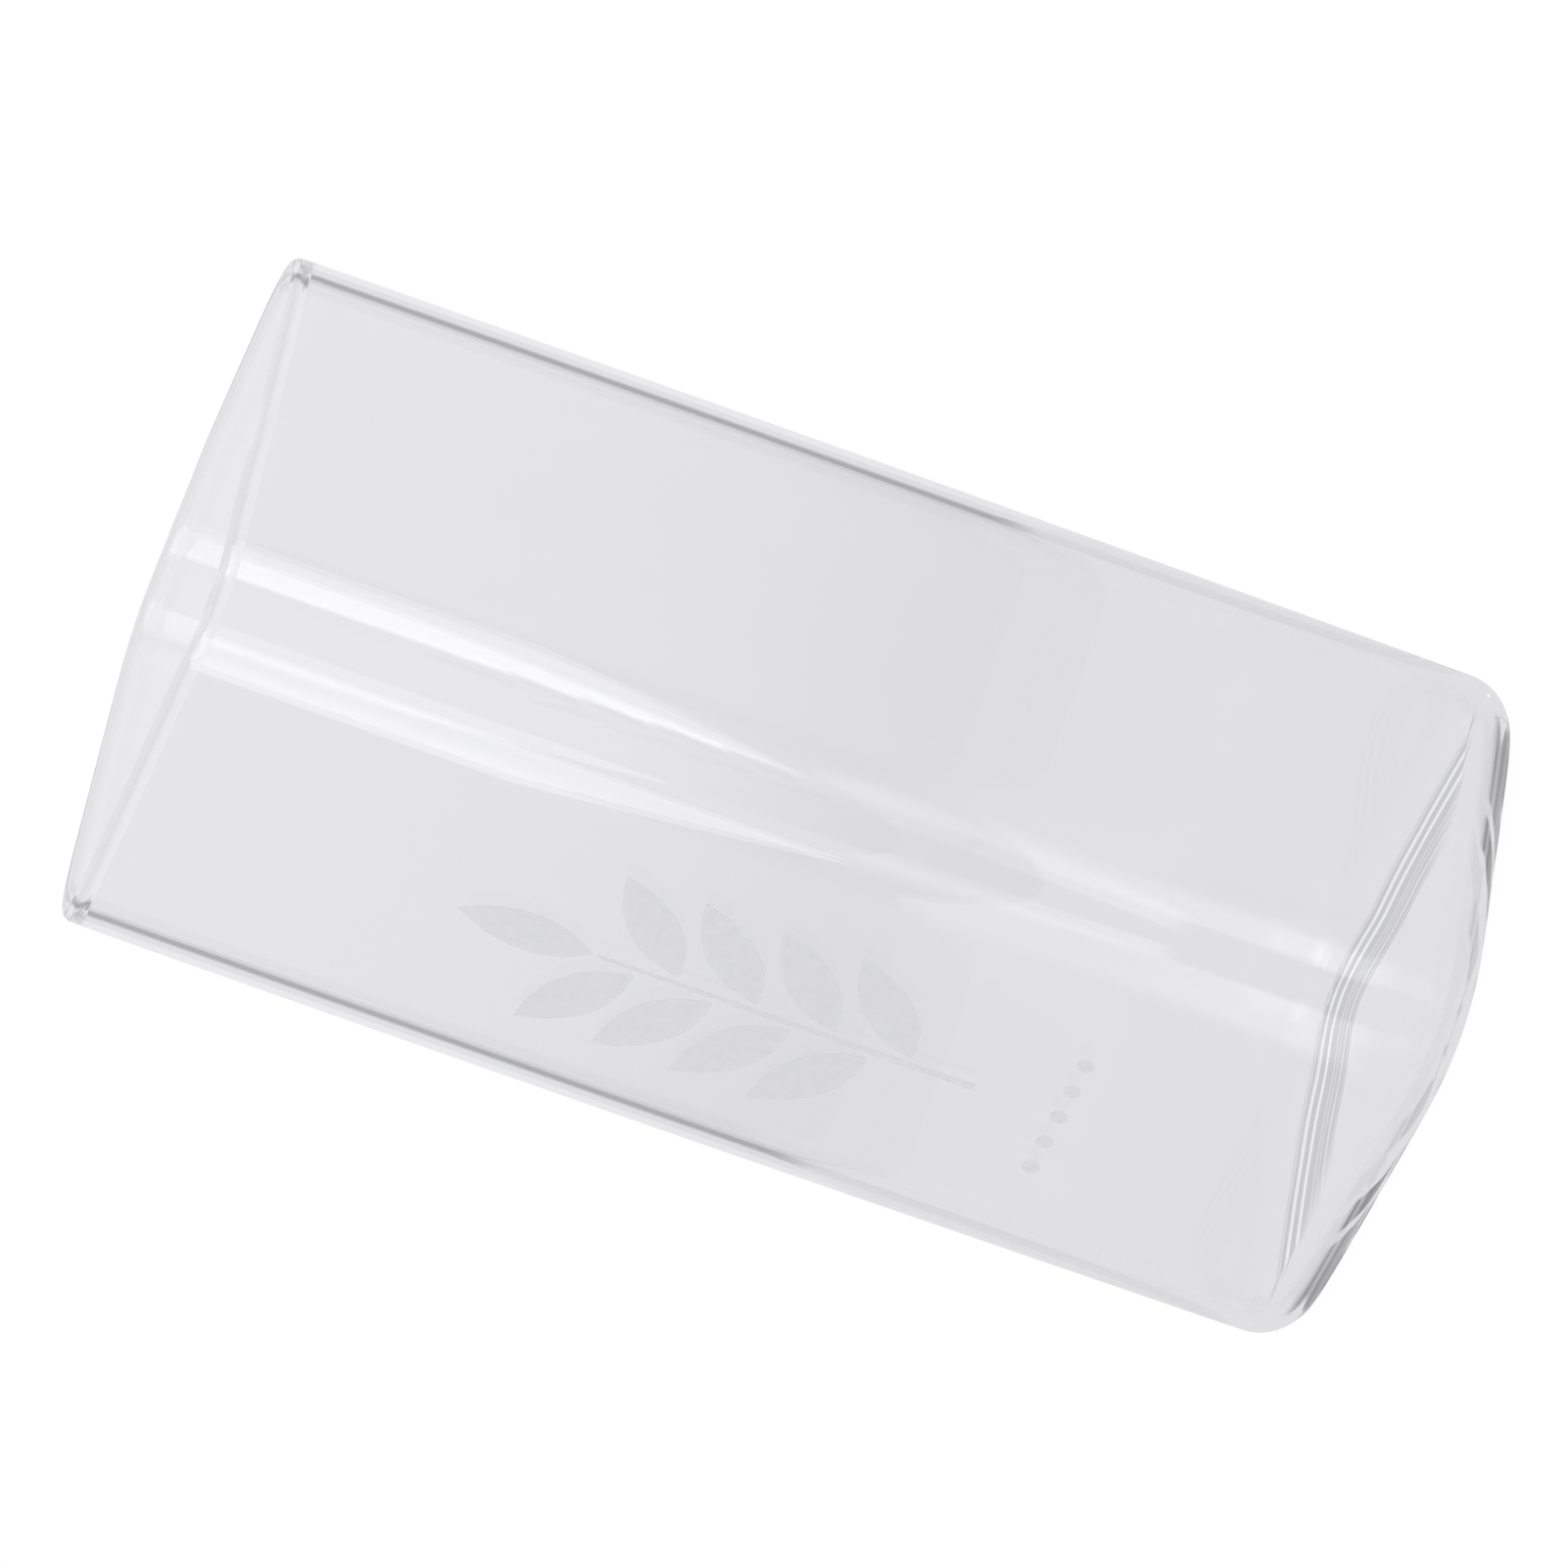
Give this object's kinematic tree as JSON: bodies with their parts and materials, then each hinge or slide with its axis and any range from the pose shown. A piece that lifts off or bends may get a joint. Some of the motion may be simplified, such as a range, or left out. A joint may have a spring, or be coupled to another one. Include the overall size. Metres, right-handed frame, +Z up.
{
  "type": "square drinking glass",
  "caption": "Tall handleless drinking glass with straight walls of rounded-square section, a beaded fire-polished rim, a rounded heel and a pale leaf-sprig print on its front wall.",
  "frame": {"origin": "middle of the underside, in the plane that the standing ring rests on", "axes": "+Z up along the glass's axis, towards the mouth; -Y out of the printed wall; the flat walls are square to X and Y"},
  "size_m": [0.06, 0.0601, 0.134],
  "materials": {
    "glass": "clear, smooth blown glass",
    "ink": "thin matt fired ink, pale grey-white"
  },
  "bodies": {
    "root": {"glass_body": "glass", "print_stem": "ink", "print_leaf_left_1": "ink", "print_leaf_left_2": "ink", "print_leaf_left_3": "ink", "print_leaf_left_4": "ink", "print_leaf_right_1": "ink", "print_leaf_right_2": "ink", "print_leaf_right_3": "ink", "print_leaf_right_4": "ink", "print_leaf_tip": "ink", "print_dot_1": "ink", "print_dot_2": "ink", "print_dot_3": "ink", "print_dot_4": "ink", "print_dot_5": "ink"}
  },
  "joints": []
}
